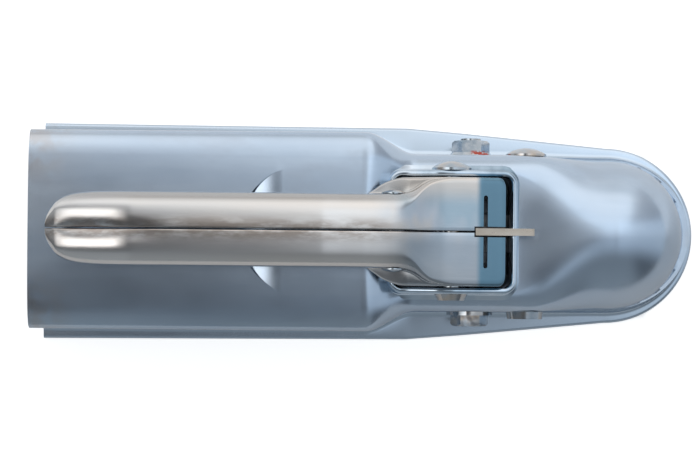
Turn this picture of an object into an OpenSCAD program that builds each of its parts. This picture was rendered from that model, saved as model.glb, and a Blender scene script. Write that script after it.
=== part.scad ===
// Trailer coupling head with a locking lever, for a 50 mm ball and a 70 mm square drawbar.
// Origin: centre of the ball socket. +X to the nose, +Y to the left, +Z up.

/* [Housing] */
// Distance from the ball centre back to the channel's rear end
rear_len = 226.5; // [205:0.5:250]
// Outer width of the drawbar channel
channel_w = 77; // [74:0.5:82]
// Height of the channel's top above the ball centre
channel_z = 35; // [33:0.5:38]
// Depth of the rim below the ball centre
rim_depth = 13; // [12.5:0.5:16]
// Thickness of the pressed sheet
sheet = 3.5; // [3:0.1:4]
// Outer width of the narrow crown at the lever
crown_w = 61.4; // [60:0.2:64]
// Height of the flat shelf round the lever
shelf_z = 25; // [24:0.5:26]
// Height of the nose dome above the ball centre
dome_z = 29; // [28.5:0.1:31]
// Outer width of the rim lip at the rear
lip_w = 87; // [84:0.5:92]
// Radius of the rim round the nose
nose_r = 35.3; // [34.5:0.1:37]

/* [Collar] */
// Outer half width of the collar round the lever
collar_y = 23.7; // [23.2:0.1:24.4]
// Thickness of the collar and its ears
collar_t = 2.6; // [2.2:0.1:2.8]
// Height of the collar's ears at the pivot
ear_z = 40; // [39:0.5:41]

/* [Drawbar fixing] */
// Diameter of the cross bolt holes
bolt_hole_d = 12.5; // [10.5:0.1:14]
// Distance between the two cross bolt holes of a side
bolt_hole_pitch = 54; // [48:0.5:56]
// Height of the cross bolt holes above the ball centre
bolt_hole_z = 8; // [4:0.5:12]

/* [Lever] */
// Half width of the grip
grip_y = 13.9; // [13.4:0.1:14.4]
// Sheet thickness of the handle halves
handle_t = 2; // [1.8:0.1:2.2]
// Gap between the two handle halves
seam_gap = 0.6; // [0.3:0.1:1]
// Raise of the grip above its drawn height
grip_lift = 0; // [-1:0.5:3]
// Opening angle of the lever
lever_open = 50; // [40:1:50]
// Opening angle of the jaw when the lever is fully open
jaw_open = 18; // [16:0.5:18]

/* [Pins and fits] */
// Diameter of the lever and jaw rivets
rivet_d = 8; // [7:0.1:8.2]
// Diameter of the drive pin
drive_d = 7; // [6:0.1:7.2]
// Diameter of the clamp bolt
clamp_d = 8; // [7:0.5:8]
// Radial running clearance of the turning bores
run = 0.05; // [0.02:0.01:0.1]
// Side clearance between moving plates
side_gap = 0.4; // [0.3:0.05:0.5]
// Radial clearance of the drive pin in the cam slots
slot_gap = 0.15; // [0.1:0.01:0.25]
// Diameter of the ball that the socket holds
ball_d = 50; // [49.6:0.1:50.2]

/* [Hidden] */
$fn = 64;

// Pivots in the XZ plane
L = [-64, 32.5];
J = [-33.7, 10];
B = [-55.2, 3];
R = [-86.5, 44.4];
Q = [-66, 12];
ratio = jaw_open / lever_open;
rr = rivet_d / 2;
ball_r = ball_d / 2;
rim_z = -rim_depth;
crown_y = crown_w / 2;

function unit(u) = max(0, min(1, u));
function ease(a, b, x) = let (u = unit((x - a) / (b - a))) u * u * (3 - 2 * u);
// Turn about +Y, as the joints turn
function turn(p, a) = [p[0] * cos(a) + p[1] * sin(a), -p[0] * sin(a) + p[1] * cos(a)];

module ycyl(p, r, y0, y1) {
  translate([p[0], y0, p[1]]) rotate([-90, 0, 0]) cylinder(r = r, h = y1 - y0);
}

module side(y0, y1) {
  translate([0, y1, 0]) rotate([90, 0, 0]) linear_extrude(y1 - y0) children();
}

// ---- housing shell ----
xs = [-rear_len, -160, -97, -94, -91, -88.5, -86, -83.5, -80.5, -77, -60, -42, -36, -30, -24, -18,
  -12, -6, 0];
K = len(xs);
NF = 18;
NC = 7;
M = 8 + NC;
RIBS = 2 * K + NF - 1;

function lip_at(x) = lookup(x, [
  [-rear_len, lip_w / 2], [-80, lip_w / 2 - 0.8], [-58, lip_w / 2 - 2.6], [-36, lip_w / 2 - 4.7],
  [-18, (lip_w / 2 - 4.7 + nose_r) / 2], [0, nose_r]
]);
function nose(phi) = cos(phi) * cos(phi);
// [wall, lip, top, corner width, corner height, fillet, wall thickness, draft]
function rib_size(x, phi) =
  let (s1 = ease(-97, -77, x), s2 = ease(-42, -2, x), c = x >= 0 ? nose(phi) : 0)
  let (w = channel_w / 2 + (crown_y - channel_w / 2) * s1 - 1.1 * s2 + 2.8 * c)
  [
    w, lip_at(x), channel_z + (shelf_z - channel_z) * s1 + (dome_z - shelf_z) * s2,
    10 - 2 * s1 + (w - 10) * s2, 10 - 2 * s1 + (dome_z - 8) * s2,
    2.5 + 0.7 * s1 - 1.2 * s2 - 0.9 * c, sheet + (0.7 + 1.3 * c) * s2, 1.2 * s2 - 0.3 * c
  ];
function outer_rib(q) =
  let (cx = q[0] + q[7] + q[5], cz = rim_z + sheet + q[5])
  concat(
    [[q[1], rim_z], [q[1], rim_z + sheet]],
    [for (i = [0:3]) [cx + q[5] * cos(270 - 30 * i), cz + q[5] * sin(270 - 30 * i)]],
    [for (i = [0:NC]) [q[0] - q[3] + q[3] * cos(90 * i / NC), q[2] - q[4] + q[4] * sin(90 * i / NC)]],
    [[0, q[2]]]
  );
function inner_rib(q) =
  let (w = q[0] - q[6], a = q[3] - q[6], b = q[4] - sheet, z = q[2] - sheet)
  concat(
    [[w, rim_z], [w, rim_z + 0.3 * sheet], [w, rim_z + 0.6 * sheet], [w, rim_z + 0.8 * sheet]],
    [[w, rim_z + sheet], [w, rim_z + sheet + 0.8 * q[5]]],
    [for (i = [0:NC]) [w - a + a * cos(90 * i / NC), z - b + b * sin(90 * i / NC)]],
    [[0, z]]
  );
function rib_x(i) = i < K ? xs[i] : i < K + NF - 1 ? 0 : xs[2 * K + NF - 2 - i];
function rib_phi(i) = i < K ? 90 : i < K + NF - 1 ? 90 - 180 * (i - K + 1) / NF : -90;
function place(p, x, phi) =
  abs(phi) == 90 ? [x, sign(phi) * p[0], p[1]] : [x + p[0] * cos(phi), p[0] * sin(phi), p[1]];
// The spine's points are shared by both sides and by the whole nose fan
function at(i, j) =
  j < M - 1 ? i * M + j : (i < K ? i : i < K + NF - 1 ? K - 1 : 2 * K + NF - 2 - i) * M + j;
function quad(a, b, c, d) = a == b ? [[a, c, d]] : c == d ? [[a, b, c]] : [[a, b, c], [a, c, d]];

module shell() {
  n = RIBS * M;
  outer = [for (i = [0:RIBS - 1]) for (p = outer_rib(rib_size(rib_x(i), rib_phi(i))))
      place(p, rib_x(i), rib_phi(i))];
  inner = [for (i = [0:RIBS - 1]) for (p = inner_rib(rib_size(rib_x(i), rib_phi(i))))
      place(p, rib_x(i), rib_phi(i))];
  skin = [for (i = [0:RIBS - 2]) for (j = [0:M - 2])
      for (f = quad(at(i, j), at(i, j + 1), at(i + 1, j + 1), at(i + 1, j))) f];
  lining = [for (f = skin) [n + f[2], n + f[1], n + f[0]]];
  rim = [for (i = [0:RIBS - 2]) for (f = quad(at(i, 0), at(i + 1, 0), n + at(i + 1, 0), n + at(i, 0))) f];
  ends = [for (i = [0, RIBS - 1]) for (j = [0:M - 2])
      for (f = quad(at(i, j), n + at(i, j), n + at(i, j + 1), at(i, j + 1))) i == 0 ? f : [f[2], f[1], f[0]]];
  polyhedron(
    points = concat(outer, inner), faces = [for (f = concat(skin, lining, rim, ends)) [f[2], f[1], f[0]]]
  );
}

module round_plan(x0, x1, y, r, z0, z1) {
  translate([0, 0, z0]) linear_extrude(z1 - z0) union() {
    translate([x0 + r, -y]) square([x1 - x0 - 2 * r, 2 * y]);
    translate([x0, -y + r]) square([x1 - x0, 2 * y - 2 * r]);
    for (x = [x0 + r, x1 - r], s = [-1, 1]) translate([x, s * (y - r)]) circle(r = r);
  }
}

collar_x0 = -88.2;
collar_x1 = -38.8;
stop_x = -120.4;
stop_r = 25;
stop_edge = -129;
stop_drop = 5;

module collar() {
  intersection() {
    round_plan(collar_x0, collar_x1, collar_y, 5.4, 22.4, ear_z + 1);
    side(-collar_y - 1, collar_y + 1) polygon([
      [-92, 22], [-35, 22], [-35, 36.6], [-46, 37.2], [-52, 38.2], [-57, ear_z - 0.6],
      [-61, ear_z], [-67, ear_z], [-71, ear_z - 0.6], [-76, 38], [-82, 36.6], [-92, 36.2]
    ]);
  }
}

module half_moon(r, past, h) {
  linear_extrude(h) intersection() {
    translate([stop_x, 0]) circle(r = r);
    translate([stop_x - r - 1, -r - 1]) square([stop_edge - stop_x + r + 1 + past, 2 * r + 2]);
  }
}

// The lanced tongue, bent down at its straight edge, that stops the drawbar
module stop_tongue() {
  fall = stop_drop / (stop_edge - stop_x + stop_r);
  rear = stop_x - stop_r - 1;
  z1 = channel_z - 0.2;
  z0 = channel_z - sheet + 0.3;
  intersection() {
    translate([0, 0, channel_z - 20]) half_moon(stop_r - 0.5, 0.9, 25);
    side(-stop_r, stop_r) polygon([
      [stop_edge + 2, z0], [stop_edge + 2, z1], [stop_edge, z1],
      [rear, z1 - fall * (stop_edge - rear)], [rear, z0 - fall * (stop_edge - rear)], [stop_edge, z0]
    ]);
  }
}

module coupling_body() {
  color([0.66, 0.70, 0.75]) union() {
    difference() {
      union() {
        shell();
        collar();
      }
      round_plan(collar_x0 + collar_t, collar_x1 - collar_t, collar_y - collar_t, 2.9, 10, 60);
      round_plan(-97, -80, 12.6, 3, 10, 60);
      ycyl(L, rr, -40, 40);
      ycyl(J, rr, -45, 45);
      ycyl(B, clamp_d / 2 + 0.25, -45, 45);
      for (x = [-184 - bolt_hole_pitch / 2, -184 + bolt_hole_pitch / 2])
        ycyl([x, bolt_hole_z], bolt_hole_d / 2, -60, 60);
      translate([0, 0, channel_z - 6]) half_moon(stop_r, 0, 12);
    }
    stop_tongue();
  }
}

// ---- rivets, bolt and small turned pieces ----
module dome_head(r, h) {
  rim = 0.25 * h;
  cap = h - rim;
  s = (r * r + cap * cap) / (2 * cap);
  rotate_extrude() union() {
    square([r, rim + 0.01]);
    translate([0, rim]) intersection() {
      translate([0, cap - s]) circle(r = s);
      square([r, cap]);
    }
  }
}

module lever_pivot_rivet() {
  color([0.72, 0.74, 0.76]) union() {
    ycyl(L, rr, -collar_y - 0.5, collar_y + 0.5);
    translate([L[0], collar_y, L[1]]) rotate([-90, 0, 0]) dome_head(7.7, 3.6);
    translate([L[0], -collar_y, L[1]]) rotate([90, 0, 0]) cylinder(r1 = 6.5, r2 = 5.2, h = 2.5);
  }
}

wall_j = crown_y - 0.1;

module jaw_rivet() {
  color([0.72, 0.74, 0.76]) union() {
    ycyl(J, rr, -wall_j - 0.5, wall_j + 0.5);
    translate([J[0], wall_j, J[1]]) rotate([-90, 0, 0]) dome_head(8, 3.3);
    translate([J[0], -wall_j, J[1]]) rotate([90, 0, 0]) cylinder(r1 = 7.4, r2 = 6.9, h = 2.9);
  }
}

washer_t = 1.6;
head_h = 4.4;
nut_h = 6.2;

module clamp_bolt() {
  color([0.78, 0.80, 0.82]) union() {
    ycyl(B, clamp_d / 2, -crown_y - washer_t - 0.3, crown_y + nut_h + 0.9);
    translate([B[0], -crown_y - washer_t, B[1]]) rotate([90, 0, 0]) intersection() {
      cylinder(r = 7.5, h = head_h, $fn = 6);
      cylinder(r1 = 11, r2 = 6.6, h = head_h);
    }
  }
}

module bolt_washer() {
  color([0.74, 0.76, 0.79]) difference() {
    ycyl(B, 9.2, -crown_y - washer_t, -crown_y);
    ycyl(B, clamp_d / 2 + 0.2, -crown_y - 5, -crown_y + 5);
  }
}

module flange_nut() {
  color([0.78, 0.80, 0.82]) translate([B[0], crown_y, B[1]]) rotate([-90, 0, 0]) difference() {
    union() {
      cylinder(r1 = 8.9, r2 = 7.7, h = 1.5);
      intersection() {
        cylinder(r = 7.5, h = nut_h, $fn = 6);
        cylinder(r1 = 12.4, r2 = 6.7, h = nut_h);
      }
    }
    translate([0, 0, -1]) cylinder(r = clamp_d / 2, h = nut_h + 2);
  }
}

sleeve_r = 5.25;

module bolt_sleeve() {
  color([0.62, 0.63, 0.65]) difference() {
    ycyl(B, sleeve_r, -crown_y + sheet + 0.1, crown_y - sheet - 0.1);
    ycyl(B, clamp_d / 2 + 0.1, -40, 40);
  }
}

jaw_y = 16;

module jaw_spacer() {
  difference() {
    ycyl(J, 6.2, jaw_y + 0.3, crown_y - sheet - 0.7);
    ycyl(J, rr + run, 0, 40);
  }
}

module jaw_spacer_left() {
  color([0.62, 0.63, 0.65]) jaw_spacer();
}

module jaw_spacer_right() {
  color([0.62, 0.63, 0.65]) mirror([0, 1, 0]) jaw_spacer();
}

spring_z = -3;
seat_x = -47.9;
pocket_x = -33.6;

module spring_seat() {
  color([0.60, 0.61, 0.62]) difference() {
    union() {
      translate([seat_x - 2.2, 0, spring_z]) rotate([0, 90, 0]) cylinder(r = 6.6, h = 2.2);
      translate([seat_x - 1, 0, spring_z]) rotate([0, 90, 0]) cylinder(r = 3.6, h = 4);
      translate([seat_x - 8, -6, spring_z - 4]) cube([7, 12, 7]);
    }
    ycyl(B, sleeve_r + 0.05, -20, 20);
  }
}

// ---- spring ----
wire_r = 0.85;
coil_r = 5.2;
turns = 5;
coil_n = 16;

function coil_x(u, x0, x1) =
  x0 + (x1 - x0) * (u < 0.1 ? 0.4 * u : u > 0.9 ? 1 - 0.4 * (1 - u) : 0.04 + (u - 0.1) * 1.15);
module coil(x0, x1) {
  n = turns * coil_n;
  function mid(i) = [coil_x(i / n, x0, x1), coil_r * sin(360 * i / coil_n), coil_r * cos(360 * i / coil_n)];
  pts = [for (i = [0:n]) for (k = [0:7])
      mid(i) + wire_r * cos(45 * k) * [0, sin(360 * i / coil_n), cos(360 * i / coil_n)]
        + [wire_r * sin(45 * k), 0, 0]];
  walls = [for (i = [0:n - 1]) for (k = [0:7])
      for (f = [[8 * i + k, 8 * i + (k + 1) % 8, 8 * i + 8 + k],
          [8 * i + (k + 1) % 8, 8 * i + 8 + (k + 1) % 8, 8 * i + 8 + k]]) f];
  caps = concat([for (k = [1:6]) [0, k + 1, k]], [for (k = [1:6]) [8 * n, 8 * n + k, 8 * n + k + 1]]);
  polyhedron(points = pts, faces = concat(walls, caps));
}

module main_spring() {
  color([0.45, 0.46, 0.48]) translate([0, 0, spring_z])
    coil(seat_x + wire_r + 0.05, pocket_x - wire_r - 0.05);
}

// ---- handle ----
// [x, half width of the ridge, top, bottom, hollow, half width of the shoulder, its top]
stations = [
  [-217.5, 2.4, 51, 47.8, 0, 0, 0], [-216.9, 4.2, 51.5, 47.4, 0, 0, 0], [-215.6, 7, 52.4, 46.4, 0, 0, 0],
  [-213.9, 9.4, 53.6, 45.2, 0, 0, 0], [-213.4, 9.9, 53.9, 45, 1, 0, 0], [-210.5, 11.8, 55, 43.8, 1, 0, 0],
  [-206.5, 13, 56.1, 43.1, 1, 0, 0], [-200, 13.7, 57.4, 42.7, 1, 0, 0], [-191, 13.9, 58.8, 42.3, 1, 0, 0],
  [-187, 13.9, 59.2, 42.1, 1, 0, 0], [-184, 13.9, 59.3, 42, 1, 0, 0], [-150, 13.9, 58.6, 41.4, 1, 0, 0],
  [-114, 13.9, 57.2, 40.6, 1, 0, 0], [-106, 13.9, 56.4, 39.6, 1, 0, 0], [-97.4, 13.95, 55.6, 38, 1, 0, 0],
  [-95.8, 13.95, 55.4, 37.3, 1, 14.7, 39.6], [-93.8, 14, 55.2, 37.1, 1, 16, 39.6],
  [-91, 14, 54.9, 37, 1, 18, 39.6],
  [-88.4, 14, 54.6, 37, 1, 19.2, 39.6], [-86, 14, 54.3, 37, 1, 20, 39.7], [-83, 14, 53.5, 37, 1, 20.6, 40],
  [-80.5, 14, 52.2, 36, 1, 20.7, 40.5], [-78, 14.1, 50.7, 33, 1, 20.7, 41.4],
  [-75.5, 14.3, 49.2, 29.4, 1, 20.7, 42.4], [-71, 14.8, 47.2, 25.8, 1, 20.7, 44.2],
  [-67.5, 15.4, 46.2, 24.6, 1, 20.7, 45], [-64, 16, 45.7, 24.3, 1, 20.7, 45.1],
  [-60, 16, 45.2, 24.8, 1, 20.7, 44.85], [-54.2, 16, 44.5, 27.5, 1, 20.7, 44.15],
  [-51, 16, 43.7, 29.4, 1, 20.7, 43.35],
  [-46.6, 16, 42.5, 34, 1, 20.7, 42.15], [-45.2, 15.8, 42.15, 35.4, 1, 20.3, 41.8],
  [-44.4, 15, 41.95, 36.2, 1, 19.4, 41.6], [-43.9, 13.6, 41.8, 36.8, 1, 17.8, 41.45]
];
HN = 5;

// The ridge follows the grip's width, the shoulder follows the room inside the collar
function ridge_w(s) = s[1] * (s[0] < -75 ? grip_y / 13.9 : 1);
function shoulder_w(s) =
  s[6] == 0 ? ridge_w(s) : max(ridge_w(s) + 0.6, s[5] * (collar_y - collar_t - side_gap) / 20.7);

// Half a cross-section: valley at the seam, ridge, its foot, the shoulder, then the same one sheet inside
function grip_ring(s) =
  let (w = ridge_w(s), v = shoulder_w(s), flat = s[6] == 0, h = s[2] - s[3], soft = ease(-80, -66, s[0]))
  let (t = handle_t, g = seam_gap / 2, lift = grip_lift * ease(-70, -110, s[0]))
  let (z = s[2] + lift, b = s[3] + lift)
  let (rx = min(6.9 + 3 * soft, 0.6 * w), rz = flat ? min(6, 0.42 * h) : min(6, 0.6 * (s[2] - s[6])))
  let (dip = min(0.8 - 0.5 * soft, 0.06 * h), mid = 0.5 * (w - rx), zc = z - rz, ri = max(rz - t, 0.4))
  let (zi = zc + rz - t - ri, deep = s[4] == 1, zs = flat ? b : s[6] + lift, q = v - w)
  let (fh = min(1, 0.5 * (zc - zs)), f = min(1 + 2 * soft, q / 2), rs = min(1.8, 0.4 * (zs - b)), rn = 0.3)
  let (up = min(1.2, 0.8 * (zi - zs + t)), qs = min(rs, q / 2), qn = min(rn, q / 2), low = b + 0.2)
  concat(
    [[g, z - dip], [mid, z - 0.25 * dip]],
    [for (i = [HN:-1:0]) [w - rx + rx * cos(90 * i / HN), zc + rz * sin(90 * i / HN)]],
    flat ? [for (k = [1:6]) [w, zc - (zc - b) * k / 7]] : concat(
      [[w, zs + fh], [w + 0.3 * f, zs + 0.3 * fh], [w + f, zs]],
      [for (a = [70, 35, 0]) [v - qs + qs * cos(a), zs - rs + rs * sin(a)]]),
    [[v, b]],
    !deep ? concat([for (k = [0:13]) [w - t - (w - t - g) * 0.9 * k / 13, low]], [[g, low]]) : concat(
      [[v - t, b]],
      flat ? [for (k = [6:-1:1]) [w - t, zc - (zc - b) * k / 7]] : concat(
        [for (a = [10, 45, 80]) [v - t - qn + qn * cos(a), zs - t - rn + rn * sin(a)]],
        [[w - t + min(1.2, q / 2), zs - t + 0.04], [w - t + 0.3 * min(1, q), zs - t + 0.3 * up]],
        [[w - t, zs - t + up]]),
      [for (i = [0:HN]) [w - rx + (rx - t) * cos(90 * i / HN), zi + ri * sin(90 * i / HN)]],
      [[mid, z - t - 0.25 * dip], [g, z - t - dip]])
  );

module half_shell() {
  m = 2 * HN + 20;
  n = len(stations);
  pts = [for (s = stations) for (p = grip_ring(s)) [s[0], p[0], p[1]]];
  walls = [for (i = [0:n - 2]) for (j = [0:m - 1])
      for (f = [[i * m + j, i * m + (j + 1) % m, i * m + m + (j + 1) % m],
          [i * m + j, i * m + m + (j + 1) % m, i * m + m + j]]) f];
  caps = [for (i = [0, n - 1]) for (j = [0:m / 2 - 2])
      for (f = [[i * m + j, i * m + m - 1 - j, i * m + m - 2 - j],
          [i * m + j, i * m + m - 2 - j, i * m + j + 1]])
        i == 0 ? f : [f[2], f[1], f[0]]];
  polyhedron(points = pts, faces = concat(walls, caps));
}

notch_y = 2;
slot_x = -51.6;

module handle_half() {
  difference() {
    half_shell();
    translate([-55.9, -1, 30]) cube([20, 1 + notch_y, 30]);
    translate([slot_x - 0.75, -1, 37]) cube([1.5, 14.8, 12]);
    ycyl(L, rr + run, 10, 30);
    ycyl(R, 3, 5, 30);
  }
}

module handle_left() {
  color([0.74, 0.72, 0.68]) handle_half();
}

module handle_right() {
  color([0.74, 0.72, 0.68]) mirror([0, 1, 0]) handle_half();
}

module handle_rivet() {
  color([0.74, 0.74, 0.73]) union() {
    ycyl(R, 3, -grip_y - 0.5, grip_y + 0.5);
    translate([R[0], grip_y + 0.25, R[1]]) rotate([-90, 0, 0]) dome_head(4.7, 1.5);
    translate([R[0], -grip_y - 0.25, R[1]]) rotate([90, 0, 0]) dome_head(4.7, 1.5);
  }
}

// ---- cam plates ----
arm_y0 = 1.45;
arm_y1 = 7.4;
cam_y0 = arm_y1 + side_gap;
cam_y1 = grip_y - handle_t - 0.1;

function cam_at(a) = L + turn(J + turn(Q - J, ratio * a) - L, -a);
cam_path = [for (i = [0:14]) cam_at(-3 + (lever_open + 6) * i / 14)];

function heading(p, i) =
  let (d = p[min(i + 1, len(p) - 1)] - p[max(i - 1, 0)]) d / norm(d);
function normal(p, i) = let (t = heading(p, i)) [-t[1], t[0]];
function strip(p, r) =
  let (e = len(p) - 1, te = heading(p, e), ne = normal(p, e), ts = heading(p, 0), ns = normal(p, 0))
  concat(
    [for (i = [0:e]) p[i] + r * normal(p, i)],
    [for (a = [20:20:160]) p[e] + r * (cos(a) * ne + sin(a) * te)],
    [for (i = [e:-1:0]) p[i] - r * normal(p, i)],
    [for (a = [20:20:160]) p[0] - r * (cos(a) * ns + sin(a) * ts)]
  );

module cam_plate() {
  difference() {
    union() {
      ycyl(L, 8, cam_y0, cam_y1);
      ycyl(R, 4.4, cam_y0, cam_y1);
      side(cam_y0, cam_y1) polygon([
        L + [-2.6, 7.4], R + [1.6, 4.1], R + [-2.8, -3.4], R + [0, -4.4], [-78, 30], [-70, 20], L + [4, -5]
      ]);
      side(cam_y0, cam_y1) polygon(strip(cam_path, drive_d / 2 + 3.4));
    }
    ycyl(L, rr + run, 0, 30);
    ycyl(R, 3, 0, 30);
    side(0, 30) polygon(strip(cam_path, drive_d / 2 + slot_gap));
  }
}

module cam_plate_left() {
  color([0.58, 0.58, 0.60]) cam_plate();
}

module cam_plate_right() {
  color([0.58, 0.58, 0.60]) mirror([0, 1, 0]) cam_plate();
}

module handle_spacer() {
  color([0.62, 0.63, 0.65]) difference() {
    ycyl(R, 4.4, -cam_y0, cam_y0);
    ycyl(R, 3.05, -20, 20);
  }
}

module pivot_spacer() {
  difference() {
    ycyl(L, 5.6, cam_y1 + 0.05, collar_y - collar_t - side_gap - handle_t - 0.05);
    ycyl(L, rr + run, 0, 30);
  }
}

module pivot_spacer_left() {
  color([0.62, 0.63, 0.65]) pivot_spacer();
}

module pivot_spacer_right() {
  color([0.62, 0.63, 0.65]) mirror([0, 1, 0]) pivot_spacer();
}

// ---- jaw ----
blade_t = 2.7;
pin_f = [-43.5, 12];
pin_r = [-50, 12.2];

module jaw() {
  color([0.52, 0.53, 0.55]) difference() {
    union() {
      ycyl(J, 7.3, -jaw_y, jaw_y);
      side(-jaw_y, jaw_y) polygon([
        [-39.5, -8], [-36, rim_z + 0.7], [-21, rim_z + 0.7], [-21, 6], [-27.5, 13], [-39.5, 8]
      ]);
      for (s = [-1, 1]) {
        side(s > 0 ? arm_y0 : -arm_y1, s > 0 ? arm_y1 : -arm_y0) polygon([
          [-36, 3], [-40.5, 5.2], [-48, 8.9], [-62, 8.9], [-66, 6.6], [-69, 16],
          [-62, 16.3], [-50, 15.2], [-36, 14.8]
        ]);
        ycyl(Q, 5.4, s > 0 ? arm_y0 : -arm_y1, s > 0 ? arm_y1 : -arm_y0);
      }
    }
    sphere(r = ball_r + 0.4);
    ycyl(J, rr + run, -30, 30);
    ycyl(Q, drive_d / 2, -20, 20);
    ycyl(pin_f, 1.6, -20, 20);
    ycyl(pin_r, 1.6, -20, 20);
    translate([-45, 0, spring_z]) rotate([0, 90, 0]) cylinder(r = 6.7, h = 45 + pocket_x);
    translate([-60, -blade_t / 2 - 0.05, 5.8]) cube([60 + J[0] - rr - 0.6, blade_t + 0.1, 20]);
  }
}

module drive_pin() {
  color([0.66, 0.67, 0.69]) union() {
    ycyl(Q, drive_d / 2, -cam_y1 - 0.4, cam_y1 + 0.4);
    for (s = [-1, 1])
      translate([Q[0], s * (cam_y1 + 0.3), Q[1]]) rotate([-90 * s, 0, 0])
        cylinder(r1 = 4.3, r2 = 3.8, h = 1.2);
  }
}

module indicator_blade() {
  color([0.76, 0.66, 0.47]) difference() {
    side(-blade_t / 2, blade_t / 2) polygon([
      [-40.5, 9.2], [-40.5, 14.2], [-45.2, 18.4], [-49.9, 33.2], [-51.2, 37], [-51.3, 40.2],
      [-33.7, 40.6], [-33.1, 41.2],
      [-33.1, 44], [-33.9, 44.8], [-55.4, 44.8], [-55.4, 38], [-53.6, 15], [-53.6, 9.2]
    ]);
    ycyl(pin_f, 1.6, -20, 20);
    ycyl(pin_r, 1.6, -20, 20);
  }
}

module blade_rivet() {
  ycyl([0, 0], 1.6, -arm_y1 - 0.2, arm_y1 + 0.2);
  for (s = [-1, 1])
    translate([0, s * (arm_y1), 0]) rotate([-90 * s, 0, 0]) cylinder(r1 = 2.5, r2 = 2.1, h = 0.25);
}

module blade_rivet_front() {
  color([0.70, 0.70, 0.72]) translate([pin_f[0], 0, pin_f[1]]) blade_rivet();
}

module blade_rivet_rear() {
  color([0.70, 0.70, 0.72]) translate([pin_r[0], 0, pin_r[1]]) blade_rivet();
}

coupling_body();
lever_pivot_rivet();
jaw_rivet();
clamp_bolt();
bolt_washer();
flange_nut();
bolt_sleeve();
jaw_spacer_left();
jaw_spacer_right();
spring_seat();
main_spring();
handle_left();
handle_right();
handle_rivet();
handle_spacer();
cam_plate_left();
cam_plate_right();
pivot_spacer_left();
pivot_spacer_right();
jaw();
drive_pin();
indicator_blade();
blade_rivet_front();
blade_rivet_rear();
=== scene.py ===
import math
import bpy
import bmesh
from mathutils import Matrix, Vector


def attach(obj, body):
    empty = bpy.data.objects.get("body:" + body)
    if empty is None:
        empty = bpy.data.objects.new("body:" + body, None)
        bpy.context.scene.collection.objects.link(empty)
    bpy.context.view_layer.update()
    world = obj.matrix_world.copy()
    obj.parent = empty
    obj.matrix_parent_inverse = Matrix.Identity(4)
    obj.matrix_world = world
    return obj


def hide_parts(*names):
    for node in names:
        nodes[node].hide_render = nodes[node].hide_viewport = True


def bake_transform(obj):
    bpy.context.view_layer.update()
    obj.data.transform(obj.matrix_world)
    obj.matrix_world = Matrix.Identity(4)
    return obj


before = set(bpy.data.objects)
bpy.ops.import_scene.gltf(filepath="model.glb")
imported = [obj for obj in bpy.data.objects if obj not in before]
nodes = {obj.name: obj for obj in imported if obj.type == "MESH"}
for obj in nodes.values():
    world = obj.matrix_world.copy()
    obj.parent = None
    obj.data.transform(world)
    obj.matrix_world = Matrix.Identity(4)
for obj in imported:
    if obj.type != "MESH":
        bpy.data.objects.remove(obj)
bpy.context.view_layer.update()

MM = 0.001
scene = bpy.context.scene


# ---------------------------------------------------------------- shader nodes
def shader(name):
    """A material with one Principled shader."""
    m = bpy.data.materials.new(name)
    m.use_nodes = True
    t = m.node_tree
    t.nodes.clear()
    out = t.nodes.new("ShaderNodeOutputMaterial")
    b = t.nodes.new("ShaderNodeBsdfPrincipled")
    t.links.new(b.outputs["BSDF"], out.inputs["Surface"])
    return m, t, b, out


def axes(t, kind="Object"):
    """The X, Y and Z of a texture coordinate."""
    sep = t.nodes.new("ShaderNodeSeparateXYZ")
    t.links.new(t.nodes.new("ShaderNodeTexCoord").outputs[kind], sep.inputs[0])
    return sep.outputs["X"], sep.outputs["Y"], sep.outputs["Z"]


def noise(t, scale, detail=3.0, rough=0.5, stretch=(1, 1, 1)):
    tc = t.nodes.new("ShaderNodeTexCoord")
    mp = t.nodes.new("ShaderNodeMapping")
    mp.inputs["Scale"].default_value = stretch
    n = t.nodes.new("ShaderNodeTexNoise")
    n.inputs["Scale"].default_value = scale
    n.inputs["Detail"].default_value = detail
    n.inputs["Roughness"].default_value = rough
    t.links.new(tc.outputs["Object"], mp.inputs["Vector"])
    t.links.new(mp.outputs["Vector"], n.inputs["Vector"])
    return n.outputs["Fac"]


def ramp(t, src, stops):
    r = t.nodes.new("ShaderNodeValToRGB")
    e = r.color_ramp.elements
    while len(e) < len(stops):
        e.new(0.5)
    for el, (p, c) in zip(e, stops):
        el.position = p
        el.color = (*c, 1)
    t.links.new(src, r.inputs["Fac"])
    return r.outputs["Color"]


def map_range(t, src, a, b, lo=0.0, hi=1.0, smooth=False):
    mr = t.nodes.new("ShaderNodeMapRange")
    mr.inputs["From Min"].default_value = a
    mr.inputs["From Max"].default_value = b
    mr.inputs["To Min"].default_value = lo
    mr.inputs["To Max"].default_value = hi
    if smooth:
        mr.interpolation_type = "SMOOTHSTEP"
    t.links.new(src, mr.inputs["Value"])
    return mr.outputs["Result"]


def spread(t, src, a, b):
    """A soft step: 0 at a, 1 at b, which may lie on either side of a."""
    return map_range(t, src, a, b, smooth=True)


def curve(t, src, stops):
    """A colour for each value of src from -1 to 1."""
    return ramp(t, map_range(t, src, -1, 1), [((p + 1) / 2, c) for p, c in stops])


def blend(t, fac, a, b, kind="MIX"):
    m = t.nodes.new("ShaderNodeMix")
    m.data_type = "RGBA"
    m.blend_type = kind
    if isinstance(fac, float):
        m.inputs["Factor"].default_value = fac
    else:
        t.links.new(fac, m.inputs["Factor"])
    for k, c in ((6, a), (7, b)):
        if isinstance(c, tuple):
            m.inputs[k].default_value = (*c, 1)
        else:
            t.links.new(c, m.inputs[k])
    return m.outputs[2]


def grey(t, v):
    """A number as a grey colour, which may lie above 1."""
    c = t.nodes.new("ShaderNodeCombineXYZ")
    for k in range(3):
        t.links.new(v, c.inputs[k])
    return c.outputs[0]


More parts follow.
